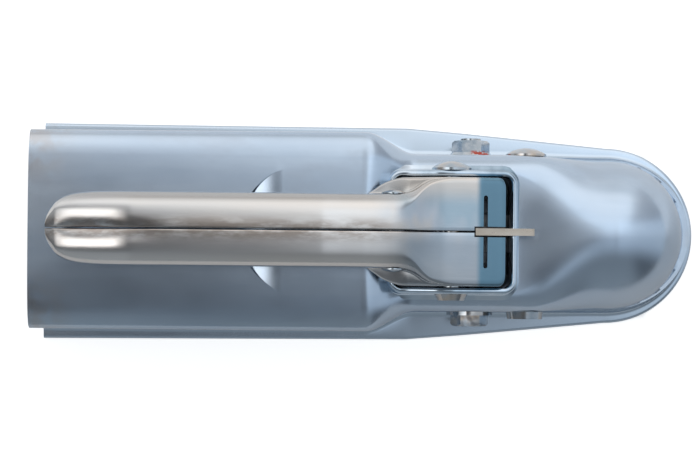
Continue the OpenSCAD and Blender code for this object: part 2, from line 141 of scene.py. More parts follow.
def calc(t, kind, a, b=None):
    m = t.nodes.new("ShaderNodeMath")
    m.operation = kind
    for k, v in enumerate((a, b)):
        if isinstance(v, (int, float)):
            m.inputs[k].default_value = v
        elif v is not None:
            t.links.new(v, m.inputs[k])
    return m.outputs[0]


def times(t, first, *more):
    for v in more:
        first = calc(t, "MULTIPLY", first, v)
    return first


def size_of(t, v):
    return calc(t, "ABSOLUTE", v)


def rest_of(t, v):
    return calc(t, "SUBTRACT", 1.0, v)


# ---------------------------------------------------------------- materials
def metal(name, tones, rough, patch=18.0, brush=(1, 1, 1), wave=(30.0, 0.10), grain=(1400.0, 0.02)):
    """Plated steel in soft patches of tone and gloss. Wave and grain are a bump's scale and strength each."""
    m, t, b, _ = shader(name)
    b.inputs["Metallic"].default_value = 1.0
    tone = ramp(t, noise(t, patch, 4.0, 0.55, brush), [(0.30, tones[0]), (0.5, tones[1]), (0.70, tones[2])])
    t.links.new(tone, b.inputs["Base Color"])
    gloss = map_range(t, noise(t, patch * 2.6, 5.0, 0.6, brush), 0.25, 0.75, *rough)
    t.links.new(gloss, b.inputs["Roughness"])
    last = None
    for (scale, strength), depth in ((wave, 0.002), (grain, 0.0002)):
        bump = t.nodes.new("ShaderNodeBump")
        bump.inputs["Strength"].default_value = strength
        bump.inputs["Distance"].default_value = depth
        t.links.new(noise(t, scale, 2.0, 0.5, brush), bump.inputs["Height"])
        if last:
            t.links.new(last.outputs["Normal"], bump.inputs["Normal"])
        last = bump
    t.links.new(last.outputs["Normal"], b.inputs["Normal"])
    return m, t, b, tone


def zinc_sheet():
    tones = [(0.46, 0.55, 0.66), (0.52, 0.61, 0.72), (0.58, 0.64, 0.71)]
    m, t, b, tone = metal("zinc", tones, (0.17, 0.27), 14.0, (0.6, 1, 1), (20.0, 0.08), (900.0, 0.02))
    x, y, z = axes(t)
    off = size_of(t, y)
    # the plating yellows at the rear corners and round the nose's edge
    rear = times(t, spread(t, x, -0.205, -0.2265), spread(t, off, 0.012, 0.03))
    front = times(t, spread(t, x, 0.029, 0.0345), spread(t, off, 0.022, 0.002))
    speck = spread(t, noise(t, 120.0, 4.0), 0.35, 0.6)
    warm = times(t, calc(t, "MAXIMUM", rear, front), speck, 0.45)
    tone = blend(t, warm, tone, (0.50, 0.42, 0.36))
    # faint streaks along the sheet, and a dull patch here and there
    streak = spread(t, noise(t, 110.0, 4.0, 0.6, (0.10, 1, 1)), 0.40, 0.68)
    dull = spread(t, noise(t, 34.0, 5.0, 0.6, (0.5, 1, 1)), 0.52, 0.70)
    tone = blend(t, times(t, streak, 0.30), tone, (0.60, 0.68, 0.77))
    tone = blend(t, times(t, dull, 0.35), tone, (0.42, 0.47, 0.54))
    # painted reflection: the flanges are painted brighter than the top, for the white floor they face
    flange = times(t, spread(t, z, -0.0075, -0.009), 0.6)
    t.links.new(blend(t, flange, tone, (0.62, 0.71, 0.80)), b.inputs["Base Color"])
    return m


def lever_sheet():
    tones = [(0.60, 0.60, 0.61), (0.68, 0.66, 0.64), (0.70, 0.63, 0.57)]
    m, t, b, tone = metal("grip", tones, (0.15, 0.24), 30.0, (0.2, 1, 1), (40.0, 0.06), (900.0, 0.05))
    x, y, _ = axes(t)
    off = size_of(t, y)
    head = spread(t, x, -0.096, -0.078)
    grip = rest_of(t, head)
    # the head: blue and beige mottling, beige along its sides, and painted shade on its -Y side
    mottle = ramp(t, noise(t, 42.0, 3.0, 0.5, (1, 0.6, 1)), [
        (0.38, (0.36, 0.45, 0.51)), (0.5, (0.50, 0.53, 0.57)), (0.62, (0.64, 0.57, 0.50)),
    ])
    tone = blend(t, head, tone, mottle)
    tone = blend(t, times(t, spread(t, off, 0.009, 0.018), head, 0.75), tone, (0.66, 0.58, 0.51))
    # painted shade: the head darker on its -Y side, away from the light
    tone = blend(t, times(t, spread(t, y, 0.001, -0.006), head, 0.85), tone, (0.33, 0.37, 0.41))
    # the grip: painted light on its -Y half, painted shade along its rounded +Y edge
    # painted light: the grip's -Y half lighter
    tone = blend(t, times(t, spread(t, y, -0.002, -0.006), grip, 0.5), tone, (0.88, 0.82, 0.78))
    # painted shade: the grip's +Y edge darker where it turns away from the light
    tone = blend(t, times(t, spread(t, y, 0.0090, 0.0125), grip, 0.5), tone, (0.36, 0.35, 0.34))
    # painted shade: the head's end, where its top bends, darker and bluer
    tone = blend(t, spread(t, x, -0.0556, -0.0530), tone, (0.16, 0.28, 0.36))
    # painted shade in the valley along the seam, in blotches
    seam_blotches = spread(t, noise(t, 260.0, 5.0, 0.65, (0.3, 1, 1)), 0.30, 0.62)
    painted_seam_shade = times(t, spread(t, off, 0.0062, 0.0010), seam_blotches, grip, 0.75)
    t.links.new(blend(t, painted_seam_shade, tone, (0.30, 0.24, 0.20)), b.inputs["Base Color"])
    return m


def lacquered_nut():
    tones = [(0.30, 0.38, 0.45), (0.56, 0.60, 0.64), (0.66, 0.66, 0.66)]
    m, t, b, tone = metal("washer", tones, (0.07, 0.16), 160.0)
    x, y, _ = axes(t)
    # a dab of red lacquer on the front half of the nut's flange
    dab = times(t, spread(t, x, -0.0562, -0.0548), spread(t, x, -0.0478, -0.0490))
    dab = times(t, dab, spread(t, noise(t, 400.0, 3.0), 0.42, 0.5), spread(t, size_of(t, y), 0.0332, 0.0322))
    t.links.new(blend(t, dab, tone, (0.50, 0.05, 0.02)), b.inputs["Base Color"])
    t.links.new(rest_of(t, dab), b.inputs["Metallic"])
    return m


def plain_metal(*args):
    return metal(*args)[0]


ZINC, GRIP, NUT = zinc_sheet(), lever_sheet(), lacquered_nut()
COLLAR = plain_metal(
    "collar", [(0.07, 0.14, 0.19), (0.50, 0.60, 0.70), (0.72, 0.78, 0.84)],
    (0.07, 0.13), 34.0, (1, 0.4, 1), (60.0, 0.05), (900.0, 0.01))
RIVET = plain_metal(
    "rivet", [(0.28, 0.38, 0.45), (0.50, 0.53, 0.56), (0.60, 0.50, 0.41)],
    (0.10, 0.2), 120.0, (1, 1, 1), (120.0, 0.05))
BOLT = plain_metal(
    "bolt", [(0.24, 0.30, 0.35), (0.46, 0.48, 0.50), (0.58, 0.50, 0.43)],
    (0.07, 0.16), 160.0, (1, 1, 1), (140.0, 0.12))
INNER = plain_metal(
    "inner", [(0.26, 0.27, 0.29), (0.38, 0.39, 0.41), (0.42, 0.40, 0.38)], (0.30, 0.5), 60.0)
SPRING = plain_metal(
    "spring", [(0.22, 0.23, 0.25), (0.33, 0.34, 0.36), (0.38, 0.37, 0.36)], (0.28, 0.42), 90.0)
JAW = plain_metal(
    "cast", [(0.24, 0.25, 0.27), (0.34, 0.35, 0.37), (0.38, 0.36, 0.34)],
    (0.42, 0.6), 40.0, (1, 1, 1), (300.0, 0.3))
BLADE = plain_metal(
    "blade", [(0.52, 0.45, 0.37), (0.66, 0.59, 0.51), (0.70, 0.66, 0.60)],
    (0.22, 0.36), 120.0, (0.4, 1, 1))


# ---------------------------------------------------------------- mesh helpers
def mesh_object(name, verts, faces, weld=0.0):
    """An object from points in mm, with its normals outwards and points nearer than weld (m) made one."""
    me = bpy.data.meshes.new(name)
    me.from_pydata([tuple(c * MM for c in v) for v in verts], [], faces)
    bm = bmesh.new()
    bm.from_mesh(me)
    if weld:
        bmesh.ops.remove_doubles(bm, verts=bm.verts, dist=weld)
    bmesh.ops.recalc_face_normals(bm, faces=bm.faces)
    bm.to_mesh(me)
    bm.free()
    o = bpy.data.objects.new(name, me)
    scene.collection.objects.link(o)
    return o


def shade(o, angle):
    """Smooth but for edges sharper than angle."""
    for p in o.data.polygons:
        p.use_smooth = True
    o.data.set_sharp_from_angle(angle=math.radians(angle))


def build(name, verts, faces, body, mat, *replaced, smooth=35.0):
    o = mesh_object(name, verts, faces, weld=1e-6)
    o.data.materials.append(mat)
    shade(o, smooth)
    if body:
        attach(o, body)
    if replaced:
        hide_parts(*replaced)
    return o


def cut(o, tools, smooth):
    """Takes the solids in tools, each its points and faces, away from o."""
    cutters = [mesh_object(f"cutter_{k}", *tool) for k, tool in enumerate(tools)]
    for c in cutters:
        m = o.modifiers.new("cut", "BOOLEAN")
        m.operation = "DIFFERENCE"
        m.solver = "EXACT"
        m.object = c
    dg = bpy.context.evaluated_depsgraph_get()
    me = bpy.data.meshes.new_from_object(o.evaluated_get(dg))
    o.modifiers.clear()
    o.data = me
    for c in cutters:
        bpy.data.objects.remove(c)
    shade(o, smooth)


def arc(n, a0, a1):
    """(cos, sin) at n even steps from a0 to a1 degrees."""
    turn = [math.radians(a0 + (a1 - a0) * i / n) for i in range(n + 1)]
    return [(math.cos(a), math.sin(a)) for a in turn]


def capped(lower, upper):
    """A closed solid between two loops of as many points."""
    n = len(lower)
    walls = [[i, (i + 1) % n, n + (i + 1) % n, n + i] for i in range(n)]
    return lower + upper, walls + [list(range(n))[::-1], list(range(n, 2 * n))]


def prism(plan, z0, z1):
    """A vertical prism over plan, a loop of (x, y)."""
    return capped([(x, y, z0) for x, y in plan], [(x, y, z1) for x, y in plan])


def rod(at, r, y0, y1):
    """A cylinder along Y at (x, z)."""
    ring = [(at[0] + r * c, at[1] + r * s) for c, s in arc(48, 0, 360)[:-1]]
    return capped([(x, y0, z) for x, z in ring], [(x, y1, z) for x, z in ring])


def corners(x0, x1, y, r):
    """Centre and first angle of each corner of a rectangle with rounded corners, anticlockwise."""
    return (x1 - r, y - r, 0), (x0 + r, y - r, 90), (x0 + r, -y + r, 180), (x1 - r, -y + r, 270)


def round_rect(x0, x1, y, r):
    return [(cx + r * c, cy + r * s) for cx, cy, a0 in corners(x0, x1, y, r) for c, s in arc(10, a0, a0 + 90)]


def ease(a, b, x):
    u = max(0.0, min(1.0, (x - a) / (b - a)))
    return u * u * (3 - 2 * u)


def lookup(x, table):
    """Straight lines through the table's (x, y) points."""
    for (x0, y0), (x1, y1) in zip(table, table[1:]):
        if x <= x1:
            return y0 + (y1 - y0) * max(0.0, (x - x0) / (x1 - x0))
    return table[-1][1]


def grid_faces(rows, closed=False):
    """Quads between rows of point numbers; closed joins each row's last point to its first."""
    faces = []
    for a, b in zip(rows, rows[1:]):
        n = len(a)
        for j in range(n if closed else n - 1):
            k = (j + 1) % n
            faces.append([a[j], a[k], b[k], b[j]])
    return faces


# ---------------------------------------------------------------- housing shell
# the CAD's own form at a finer step, in mm
REAR, SHELF_X, DOME_X = -226.5, (-97, -77), (-42, -2)     # where the top slopes to the shelf, and to the dome
SHEET, RIM, TOP = 3.5, -13.0, 35.0
HALF_CHANNEL, HALF_SHELF = 38.5, 30.7
SHELF_DROP, DOME_RISE, CORNER_R, DOME_H = 10, 4, 10, 21
CROWN, SINK = 1.2, 1.1                   # how far the top lies under the CAD's at the walls and at the nose
FAN = 48                                                  # steps round the nose
LIP = [(REAR, 43.5), (-80, 42.7), (-58, 40.9), (-36, 38.8), (-18, 37.05), (0, 35.3)]
LIP_R, LIP_BEVEL = 1.2, 0.6
PIVOT, JAW_PIN, BOLT_AT, GRIP_RIVET = (-64, 32.5), (-33.7, 10), (-55.2, 3), (-86.5, 44.4)     # (x, z)
CROSS_BOLTS = (-211, 8), (-157, 8)
RIVET_BORE, BOLT_BORE, CROSS_BORE = 4.0, 4.25, 6.25       # radii
OPENING = round_rect(-85.6, -41.4, 21.1, 2.9)
GRIP_SLOT_Y, GRIP_SLOT_R = 12.6, 3                        # half width and corners, in the collar's rear
TOP_CUT = (10, 60)                                        # z of a cut through the top
STOP_X, STOP_R, STOP_ARC = -120.4, 25, (110.13, 249.87)   # the stop tongue's slot
STOP_EDGE, STOP_DROP, STOP_T = -129.0, 3.2, 3.3           # where it starts to fall, how far, its sheet


def rib_size(x, phi):
    """Half width, lip, top, the corner's half width and height, foot radius, sheet and foot offset at x."""
    s1, s2 = ease(*SHELF_X, x), ease(*DOME_X, x)
    c = math.cos(math.radians(phi)) ** 2 if x >= 0 else 0.0
    w = HALF_CHANNEL + (HALF_SHELF - HALF_CHANNEL) * s1 - 1.1 * s2 + 2.8 * c
    corner = CORNER_R - 2 * s1
    return (
        w, lookup(x, LIP), TOP - SHELF_DROP * s1 + DOME_RISE * s2,
        corner + (w - 10) * s2, corner + DOME_H * s2,
        2.5 + 0.7 * s1 - 1.2 * s2 - 0.9 * c, SHEET + (0.7 + 1.3 * c) * s2, 1.2 * s2 - 0.3 * c,
    )


def roof(x, y, z):
    """The top's height at (x, y), eased from the plain section's z into one smooth curve without a flat."""
    w, _, top, _, h, _, _, _ = rib_size(x, 90)
    on_channel = x < -70
    power = 5.0 if x < -90 else 2 + 2.6 * (1 - ease(*DOME_X, x)) ** 1.2
    u = min(abs(y) / w, 1.0)
    sink = SINK * ease(-30, 2, x)
    top, h = top - sink, h - sink
    smooth_z = top - h * (1 - (1 - u**power) ** (1 / power)) - (CROWN * u * u if on_channel else 0.0)
    share = 1 - ease(-99, -87, x) if on_channel else ease(-42, -28, x)
    return z + (smooth_z - z) * share


def rib(x, phi, nc=16):
    """The outer and the inner line of a half section, from the lip up to the middle of the top."""
    w, lip, top, aw, ah, rf, t, d = rib_size(x, phi)
    foot_y, foot_z = w + d + rf, RIM + SHEET + rf
    outer = [(lip - LIP_BEVEL, RIM), (lip - 0.18 * LIP_BEVEL, RIM + 0.18 * LIP_BEVEL), (lip, RIM + LIP_BEVEL)]
    outer += [(lip - LIP_R + LIP_R * c, RIM + SHEET - LIP_R + LIP_R * s) for c, s in arc(3, 0, 90)]
    outer += [(foot_y + rf * c, foot_z + rf * s) for c, s in arc(5, 270, 180)]
    outer += [(w - aw + aw * c, top - ah + ah * s) for c, s in arc(nc, 0, 90)]
    outer += [((w - aw) * u, top) for u in (0.8, 0.6, 0.4, 0.2, 0.0)]
    outer = [(y, roof(x, y, z) if z > top - ah - 0.01 else z) for y, z in outer]
    wi, zi = w - t, top - SHEET - CROWN * (1 - ease(*SHELF_X, x))
    ai, bi = aw - t, ah - SHEET
    inner = [(wi + 0.5, RIM), (wi, RIM + 0.5), (wi, RIM + SHEET)]
    inner += [(wi - ai + ai * c, zi - bi + bi * s) for c, s in arc(nc, 0, 90)]
    inner += [(0.5 * (wi - ai), zi), (0, zi)]
    return outer, inner


def stations():
    """Where the shell's sections stand: close together where its form changes."""
    xs = [REAR, REAR + 0.3]
    for first, end, step in ((-220.0, -100, 8), (-99.0, -75, 1), (-73.0, -43, 3), (-42.0, -0.1, 1.5)):
        while first < end:
            xs.append(first)
            first += step
    return xs + [0.0]


def shell():
    """Sections along one side, round the nose as a fan about the origin, and back along the other side."""
    xs = stations()
    ribs = [(x, 90.0) for x in xs] + [(0.0, 90 - 180 * i / FAN) for i in range(1, FAN)]
    ribs += [(x, -90.0) for x in xs[::-1]]
    verts, outer, inner = [], [], []
    for x, phi in ribs:
        a = math.radians(phi)
        for rows, line in zip((outer, inner), rib(x, phi)):
            rows.append(range(len(verts), len(verts) + len(line)))
            verts += [(x + r * math.cos(a) if x >= 0 else x, r * math.sin(a), z) for r, z in line]
    faces = grid_faces(outer) + grid_faces(inner)
    faces += [[outer[k][0], outer[k + 1][0], inner[k + 1][0], inner[k][0]] for k in range(len(ribs) - 1)]
    # the two ends' faces meet on the spine, where build() makes the doubled points one
    faces += [[*outer[k], *inner[k][::-1]] for k in (0, len(ribs) - 1)]
    return verts, faces


stop_slot = [(STOP_X + STOP_R * c, STOP_R * s) for c, s in arc(48, *STOP_ARC)]
body = build("housing_shell", *shell(), "housing", ZINC, "coupling_body")
cut(body, [
    prism(OPENING, *TOP_CUT),
    prism(round_rect(-97, -80, GRIP_SLOT_Y, GRIP_SLOT_R), *TOP_CUT),
    rod(JAW_PIN, RIVET_BORE, -45, 45),
    rod(BOLT_AT, BOLT_BORE, -45, 45),
    *(rod(at, CROSS_BORE, -60, 60) for at in CROSS_BOLTS),
    prism(stop_slot, 29, 47),
], 32)


def tongue(n=40, m=12):
    """The lanced tongue that stops the drawbar: pressed down from its edge to the arc of its slot."""
    r, reach = STOP_R + 0.02, STOP_EDGE - (STOP_X - STOP_R)
    a0 = 180 - math.degrees(math.acos((STOP_X - STOP_EDGE) / r))
    verts = []
    for j in range(m + 1):
        for c, s in arc(n, a0, 360 - a0):
            x, y = STOP_EDGE + (STOP_X + r * c - STOP_EDGE) * j / m, r * s
            fall = STOP_DROP * (max(0.0, STOP_EDGE - x) / reach) ** 1.8
            verts.append((x, y, roof(x, y, TOP) - fall))
    row, base = n + 1, len(verts)
    faces = grid_faces([range(j * row, (j + 1) * row) for j in range(m + 1)])
    faces += [[base + k for k in f[::-1]] for f in faces]
    verts += [(x, y, z - STOP_T) for x, y, z in verts]
    rim = list(range(row)) + [j * row + n for j in range(1, m + 1)]
    rim += [m * row + i for i in range(n - 1, -1, -1)] + [j * row for j in range(m - 1, 0, -1)]
    faces += [[a, b, base + b, base + a] for a, b in zip(rim, rim[1:] + rim[:1])]
    return verts, faces


build("stop_tongue", *tongue(), "housing", ZINC, "coupling_body", smooth=40)

# ---------------------------------------------------------------- collar round the lever
COLLAR_BOX, COLLAR_R, COLLAR_T, COLLAR_FILLET = (-88.2, -38.8, 23.7), 5.4, 2.6, 1.6
COLLAR_TOP = [
    (-92, 36.2), (-82, 36.6), (-76, 38), (-71, 39.4), (-67, 40), (-61, 40), (-57, 39.4), (-52, 38.2),
    (-46, 37.2), (-35, 36.6),
]


def collar():
    """A wall with a half-round rim and a fillet onto the shelf, swept round the opening."""
    r, bends = COLLAR_R, corners(*COLLAR_BOX, COLLAR_R)
    path = []
    for k, (cx, cy, a0) in enumerate(bends):
        path += [(cx + r * c, cy + r * s, c, s) for c, s in arc(10, a0, a0 + 90)]
        nx, ny, _ = bends[(k + 1) % 4]
        c, s = arc(1, a0 + 90, a0 + 90)[0]
        for i in range(1, 12):
            path.append((cx + r * c + (nx - cx) * i / 12, cy + r * s + (ny - cy) * i / 12, c, s))
    verts, t, f = [], COLLAR_T, COLLAR_FILLET
    for x, y, nx, ny in path:
        rim_z, shelf_z = lookup(x, COLLAR_TOP), rib_size(x, 90)[2]
        section = [(f + 0.8, shelf_z - 0.5), (f, shelf_z - 0.02)]
        section += [(f - f * s, shelf_z + f - f * c) for c, s in arc(3, 0, 90)[1:]]
        section += [(-t / 2 + t / 2 * c, rim_z - t / 2 + t / 2 * s) for c, s in arc(12, 0, 180)]
        section += [(-t, shelf_z - 3.2), (-t + 0.8, shelf_z - 3.5)]
        verts += [(x + nx * o, y + ny * o, z) for o, z in section]
    m = len(section)
    rows = [range(i * m, (i + 1) * m) for i in range(len(path))]
    return verts, grid_faces(rows + rows[:1], closed=True)


ring = build("lever_collar", *collar(), "housing", COLLAR, "coupling_body", smooth=40)
cut(ring, [
    rod(PIVOT, RIVET_BORE, -40, 40),
    prism(round_rect(-110, -80, GRIP_SLOT_Y, GRIP_SLOT_R), *TOP_CUT),
], 40)

# ---------------------------------------------------------------- lever halves
LEAF, SEAM = 2.0, 0.3                                     # sheet, and half the gap between the halves
PLAIN_END, STEPPED_FROM, TIP_END = -97.4, -95.8, -213.6   # the shoulders start between the first two
PIVOT_HOLE, GRIP_RIVET_HOLE = 4.05, 3.0                   # radii
BLADE_SLOT = (-55.9, -35, 2.0)                            # x from, x to, half width
HEAD_SLOT = (-51.6, 13.0, 0.8)                            # x, y of its round end, half width
RIDGE = [                                                 # x, half width, top, bottom
    (-217.5, 2.4, 51, 47.8), (-217.35, 3.2, 51.15, 47.6), (-216.9, 4.6, 51.5, 47.4),
    (-216.3, 5.9, 51.9, 46.9), (-215.6, 7.1, 52.4, 46.4), (-213.9, 9.5, 53.6, 45.2), (-213.4, 10, 53.9, 45),
    (-210.5, 11.8, 55, 43.8), (-206.5, 13, 56.1, 43.1), (-200, 13.7, 57.4, 42.7), (-191, 13.9, 58.8, 42.3),
    (-187, 13.9, 59.2, 42.1), (-184, 13.9, 59.3, 42), (-150, 13.9, 58.6, 41.4), (-114, 13.9, 57.2, 40.6),
    (-106, 13.9, 56.4, 39.6), (PLAIN_END, 13.95, 55.6, 38), (STEPPED_FROM, 13.95, 55.4, 37.3),
    (-93.8, 14, 55.2, 37.1), (-91, 14, 54.9, 37), (-88.4, 14, 54.6, 37), (-86, 14, 54.3, 37),
    (-83, 14.2, 53.5, 37), (-80.5, 14.8, 52.2, 36), (-78, 16, 50.7, 33), (-75.5, 17.7, 49.1, 29.4),
    (-73, 19, 48, 27.4), (-71, 19.6, 47.3, 25.8), (-67.5, 20, 46.3, 24.6), (-64, 20.1, 45.8, 24.3),
    (-60, 20.1, 45.4, 24.8), (-54.2, 20.1, 44.7, 27.5), (-51, 20.1, 43.9, 29.4), (-46.6, 20.1, 42.7, 34),
    (-45.2, 19.7, 42.35, 35.4), (-44.4, 18.8, 42.1, 36.2), (-43.9, 17.2, 41.9, 36.8),
]
SHOULDER = [                                              # x, half width, top
    (STEPPED_FROM, 14.7, 39.6), (-93.8, 16, 39.6), (-91, 18, 39.6), (-88.4, 19.2, 39.6), (-86, 20, 39.7),
    (-83, 20.6, 40), (-80.5, 20.7, 40.5), (-78, 20.7, 41.4), (-75.5, 20.7, 42.4), (-71, 20.7, 44.2),
    (-67.5, 20.7, 45), (-64, 20.7, 45.1), (-60, 20.7, 44.85), (-54.2, 20.7, 44.15), (-51, 20.7, 43.35),
    (-46.6, 20.7, 42.15), (-45.2, 20.3, 41.8), (-44.4, 19.4, 41.6), (-43.9, 17.8, 41.45),
]


def spline(x, k, tab):
    """A curve through column k of tab that never overshoots its points."""
    for i in range(len(tab) - 1):
        if x <= tab[i + 1][0]:
            break
    p1, p2 = tab[i], tab[i + 1]
    p0, p3 = tab[max(i - 1, 0)], tab[min(i + 2, len(tab) - 1)]
    d = p2[0] - p1[0]
    u = (x - p1[0]) / d
    lim = 3 * abs(p2[k] - p1[k])
    m1 = max(-lim, min(lim, (p2[k] - p0[k]) / (p2[0] - p0[0]) * d))
    m2 = max(-lim, min(lim, (p3[k] - p1[k]) / (p3[0] - p1[0]) * d))
    return (
        (2 * u**3 - 3 * u**2 + 1) * p1[k] + (u**3 - 2 * u**2 + u) * m1
        + (-2 * u**3 + 3 * u**2) * p2[k] + (u**3 - u**2) * m2
    )


def half_ring(x, stepped):
    """Half a section of the lever: ridge, foot and shoulder, and the same one sheet inside."""
    w, top, b = (spline(x, k, RIDGE) for k in (1, 2, 3))
    v, zs = (max(spline(x, 1, SHOULDER), w + 0.5), spline(x, 2, SHOULDER)) if stepped else (w, b)
    t, g, h, q = LEAF, SEAM, top - b, max(v - w, 0)
    on_head = ease(-80, -66, x)
    # the ridge's rounding, and the dip towards the seam, deeper at the grip's end
    rx = min(6.9 - 4.9 * ease(-84, -72, x), max(w - 7, 0.35 * w))
    rz = min(6, 0.6 * (top - zs)) if stepped else min(6, 0.42 * h)
    end_dip = 1.3 * ease(-168, -198, x) * ease(-218.5, -206, x)
    dip = min(0.12 - 0.06 * on_head + end_dip, 0.15 * h)
    zc = top - rz
    ri = max(rz - t, 0.4)
    zi = zc + rz - t - ri
    out = [(g, top - dip - 0.45), (g + 0.1, top - dip - 0.14)]
    out += [(g + (w - rx - g) * u, top - dip * (1 - u) ** 2) for u in (0.05, 0.08, 0.14, 0.25, 0.5, 0.75)]
    out += [(w - rx + rx * c, zc + rz * s) for c, s in arc(10, 90, 0)]
    out = [(y, z - 0.5 * (1 - on_head) * (min(y, 8.0) / 8.0) ** 2) for y, z in out]
    if stepped:
        fh, f, rs = min(1, 0.5 * (zc - zs)), min(1 + 2 * on_head, q / 2), min(1.8, 0.4 * (zs - b))
        rn, up = 0.3, min(1.2, 0.8 * (zi - zs + t))
        qs, qn = min(rs, q / 2), min(rn, q / 2)
        out += [(w + f - f * c, zs + fh - fh * s) for c, s in arc(4, 0, 90)]
        out += [(v - qs + qs * c, zs - rs + rs * s) for c, s in arc(5, 75, 0)]
    else:
        out += [(w, zc - (zc - b - 0.4) * k / 12) for k in range(1, 12)]
    out += [(v, b + 0.4), (v - 0.12, b + 0.12), (v - 0.4, b)]
    if x <= TIP_END:
        return out + [(w - t - (w - t - g) * k / 13, b) for k in range(14)]
    inn = [(v - t + 0.3, b), (v - t, b + 0.3)]
    if stepped:
        inn += [(v - t - qn + qn * c, zs - t - rn + rn * s) for c, s in arc(2, 10, 80)]
        inn += [(w - t + min(1.2, q / 2), zs - t + 0.04), (w - t + 0.3 * min(1, q), zs - t + 0.3 * up)]
        inn += [(w - t, zs - t + up)]
    else:
        inn += [(w - t, zc - (zc - b - 0.3) * k / 7) for k in range(6, 0, -1)]
    inn += [(w - rx + (rx - t) * c, zi + ri * s) for c, s in arc(4, 0, 90)]
    return out + inn + [(g, top - t - dip)]


def lever_sections():
    """Sections about 0.9 mm apart, each at x and as a line of (y, z)."""
    xs = []
    for a, b in zip(RIDGE, RIDGE[1:]):
        n = min(24, max(1, int((b[0] - a[0]) / 0.9 + 0.5)))
        xs += [a[0] + (b[0] - a[0]) * i / n for i in range(n)]
    xs.append(RIDGE[-1][0])
    plain, first = half_ring(PLAIN_END, False), half_ring(STEPPED_FROM, True)
    for x in xs:
        u = (x - PLAIN_END) / (STEPPED_FROM - PLAIN_END)
        if 0 < u < 1:
            yield x, [(p[0] + (r[0] - p[0]) * u, p[1] + (r[1] - p[1]) * u) for p, r in zip(plain, first)]
        else:
            yield x, half_ring(x, u >= 1)


def handle_half(side):
    """The lever's half on the +Y side (1) or the -Y side (-1), with its slots and bores."""
    sections = list(lever_sections())
    m, n = len(sections[0][1]), len(sections)
    verts = [(x, side * y, z) for x, line in sections for y, z in line]
    faces = grid_faces([range(i * m, (i + 1) * m) for i in range(n)], closed=True)
    faces += [list(range(m)), list(range((n - 1) * m, n * m))]
    word = "left" if side > 0 else "right"
    o = build(f"handle_shell_{word}", verts, faces, "lever", GRIP, f"handle_{word}")
    x0, x1, wide = BLADE_SLOT
    y0, y1 = sorted((-side, side * wide))
    at, end, r = HEAD_SLOT
    slot = [(at + r * c, side * (end + r * s)) for c, s in arc(10, 0, 180)]
    slot += [(at - r, -side), (at + r, -side)]
    cut(o, [
        prism([(x0, y0), (x1, y0), (x1, y1), (x0, y1)], 30, 60),
        prism(slot if side > 0 else slot[::-1], 37, 49),
        rod(PIVOT, PIVOT_HOLE, *sorted((side * 10, side * 30))),
        rod(GRIP_RIVET, GRIP_RIVET_HOLE, *sorted((side * 5, side * 30))),
    ], 34)


handle_half(1)
handle_half(-1)

# ---------------------------------------------------------------- spring
WIRE_R, COIL_R, TURNS, SPRING_X, SPRING_Z = 0.85, 5.2, 5, (-47.0, -34.5), -3


def coil(around=48, section=12):
    """A compression spring along X, with its end turns close together."""
    loops, (x0, x1) = around * TURNS, SPRING_X
    verts = []
    for i in range(loops + 1):
        u = i / loops
        share = 0.4 * u if u < 0.1 else 1 - 0.4 * (1 - u) if u > 0.9 else 0.04 + (u - 0.1) * 1.15
        at = x0 + (x1 - x0) * share
        a = 2 * math.pi * i / around
        for c, s in arc(section, 0, 360)[:-1]:
            out = COIL_R + WIRE_R * c
            verts.append((at + WIRE_R * s, out * math.sin(a), SPRING_Z + out * math.cos(a)))
    rows = [range(section * i, section * (i + 1)) for i in range(loops + 1)]
    return verts, grid_faces(rows, closed=True) + [list(rows[0]), list(rows[-1])]


spring = build("spring_coil", *coil(), None, SPRING, "main_spring")
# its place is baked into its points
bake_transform(spring)

# ---------------------------------------------------------------- CAD nodes that keep their shape
LOOK = [
    (RIVET, ["lever_pivot_rivet", "jaw_rivet", "handle_rivet", "blade_rivet_front", "blade_rivet_rear"]),
    (BOLT, ["clamp_bolt", "bolt_washer"]),
    (NUT, ["flange_nut"]),
    (INNER, [
        "bolt_sleeve", "jaw_spacer_left", "jaw_spacer_right", "spring_seat", "handle_spacer",
        "cam_plate_left", "cam_plate_right", "pivot_spacer_left", "pivot_spacer_right", "drive_pin",
    ]),
    (JAW, ["jaw"]),
    (BLADE, ["indicator_blade"]),
]
SOFT_EDGES = {
    "clamp_bolt", "flange_nut", "bolt_washer", "lever_pivot_rivet", "jaw_rivet", "handle_rivet",
    "indicator_blade",
}
EDGE_WIDTH, EDGE_ANGLE, SMOOTH_ANGLE = 0.00035, 32, 33    # m, and degrees


def soft_shading(angle):
    """Smooth by angle, as a geometry nodes group, since the CAD's own meshes stay as they are."""
    g = bpy.data.node_groups.new("smooth by angle", "GeometryNodeTree")
    g.interface.new_socket("Geometry", in_out="INPUT", socket_type="NodeSocketGeometry")
    g.interface.new_socket("Geometry", in_out="OUTPUT", socket_type="NodeSocketGeometry")
    a, z = g.nodes.new("NodeGroupInput"), g.nodes.new("NodeGroupOutput")
    turn = g.nodes.new("GeometryNodeInputMeshEdgeAngle")
    keen = g.nodes.new("FunctionNodeCompare")
    keen.operation = "GREATER_THAN"
    keen.inputs[1].default_value = math.radians(angle)
    g.links.new(turn.outputs[0], keen.inputs[0])
    faces, edges = (g.nodes.new("GeometryNodeSetShadeSmooth") for _ in range(2))
    edges.domain = "EDGE"
    edges.inputs["Shade Smooth"].default_value = False
    g.links.new(a.outputs[0], faces.inputs["Geometry"])
    g.links.new(faces.outputs[0], edges.inputs["Geometry"])
    g.links.new(keen.outputs[0], edges.inputs["Selection"])
    g.links.new(edges.outputs[0], z.inputs[0])
    return g


